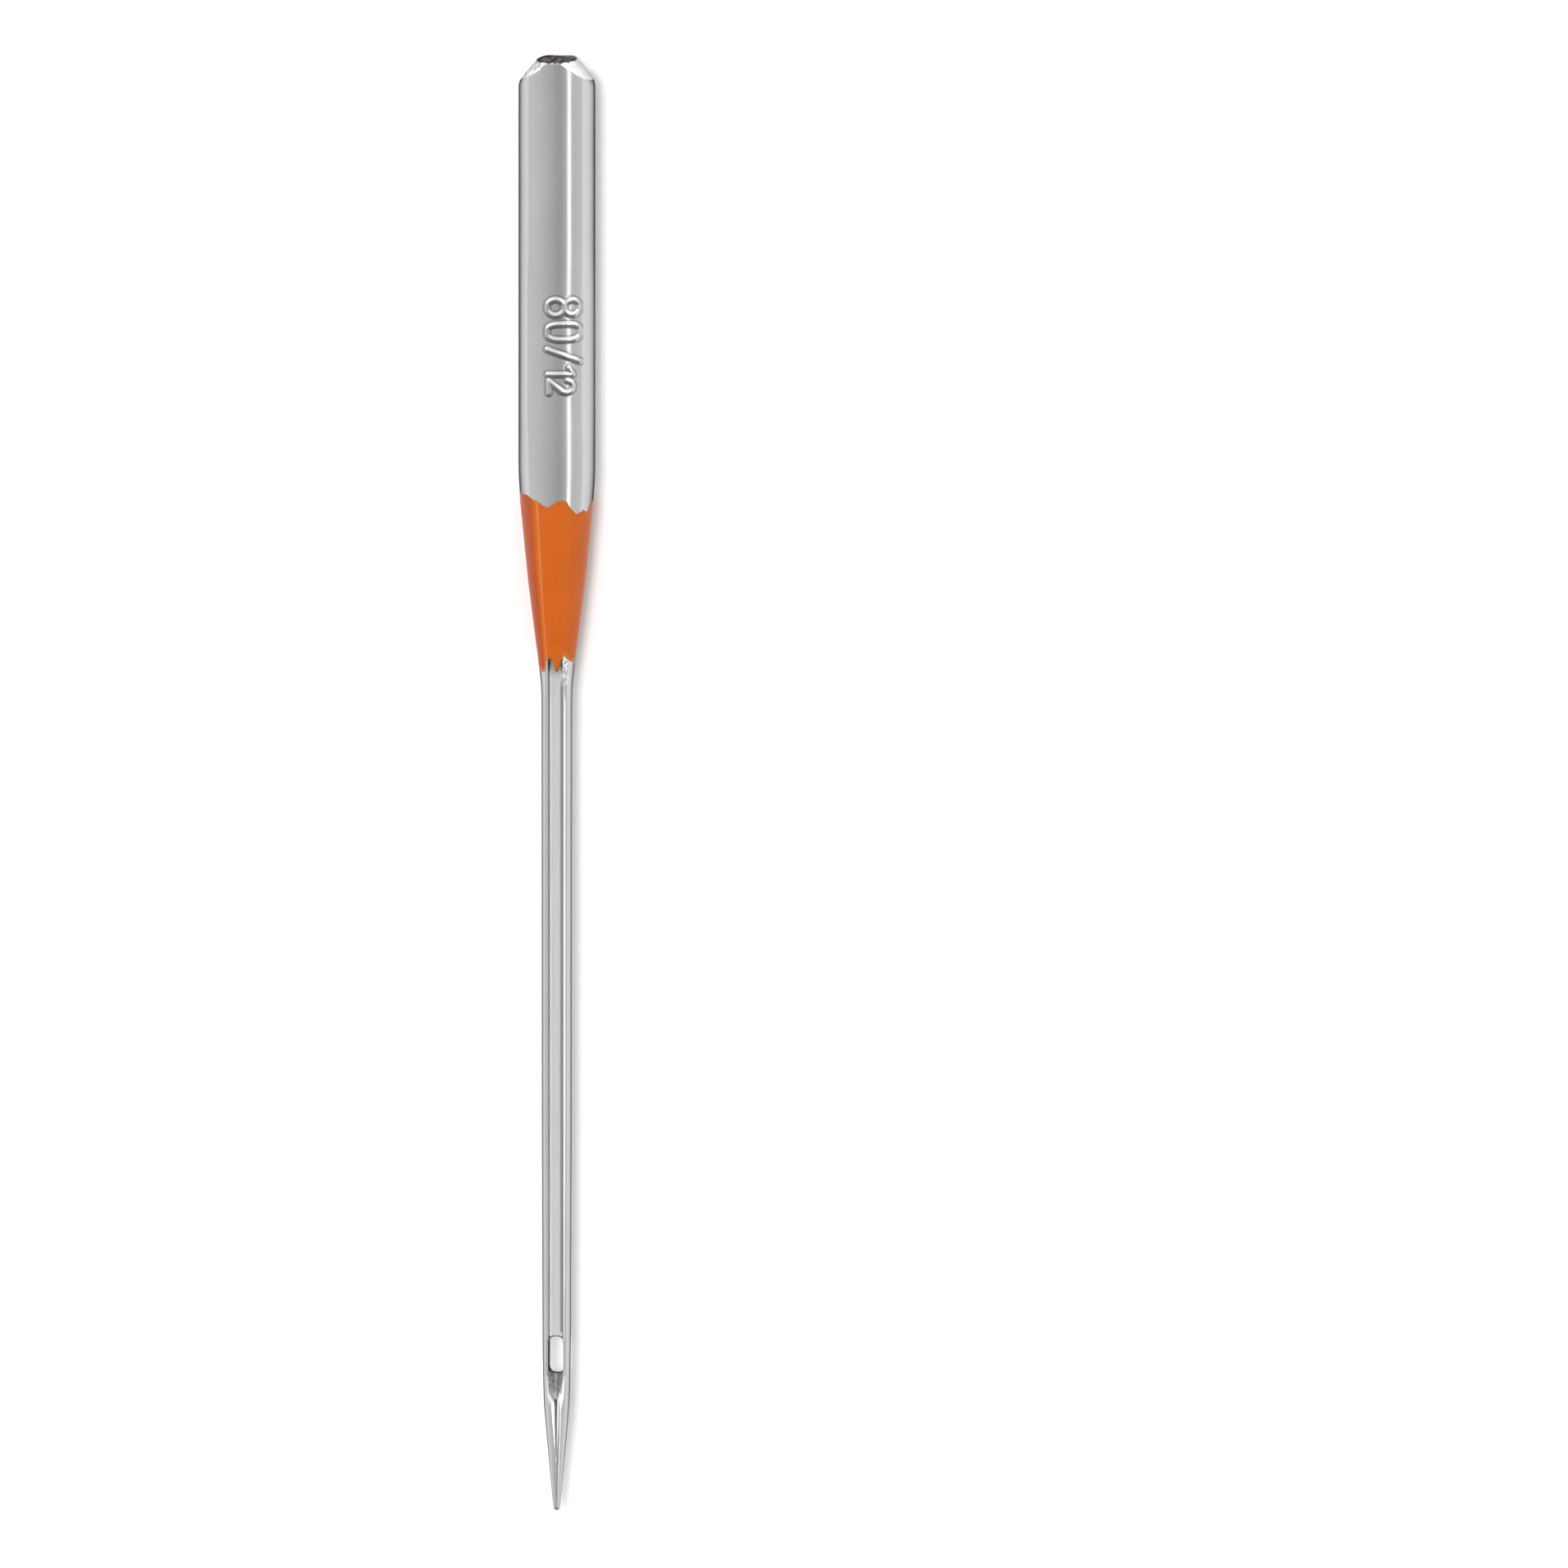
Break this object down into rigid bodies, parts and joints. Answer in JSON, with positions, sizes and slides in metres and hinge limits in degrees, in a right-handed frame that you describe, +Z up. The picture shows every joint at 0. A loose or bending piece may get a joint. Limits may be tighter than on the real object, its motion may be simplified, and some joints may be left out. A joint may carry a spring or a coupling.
{
  "type": "sewing machine needle",
  "caption": "Flat-shank household sewing machine needle with a long front groove, an eye, a scarf above it and a slightly rounded point.",
  "frame": {"origin": "middle of the bounding box's underside: on the plane of the shank's ground flat, half way between butt and tip, under the needle's axis, which is 0.74 mm above it", "axes": "+Y along the needle towards its butt, the point is towards -Y; +Z up, out of the front with the long groove; the flat faces -Z, and the needle lies on it"},
  "size_m": [0.002, 0.0384, 0.0018],
  "materials": {
    "plated_steel": "polished",
    "size_paint": "gloss"
  },
  "bodies": {
    "root": {"needle": "plated_steel"}
  },
  "joints": []
}
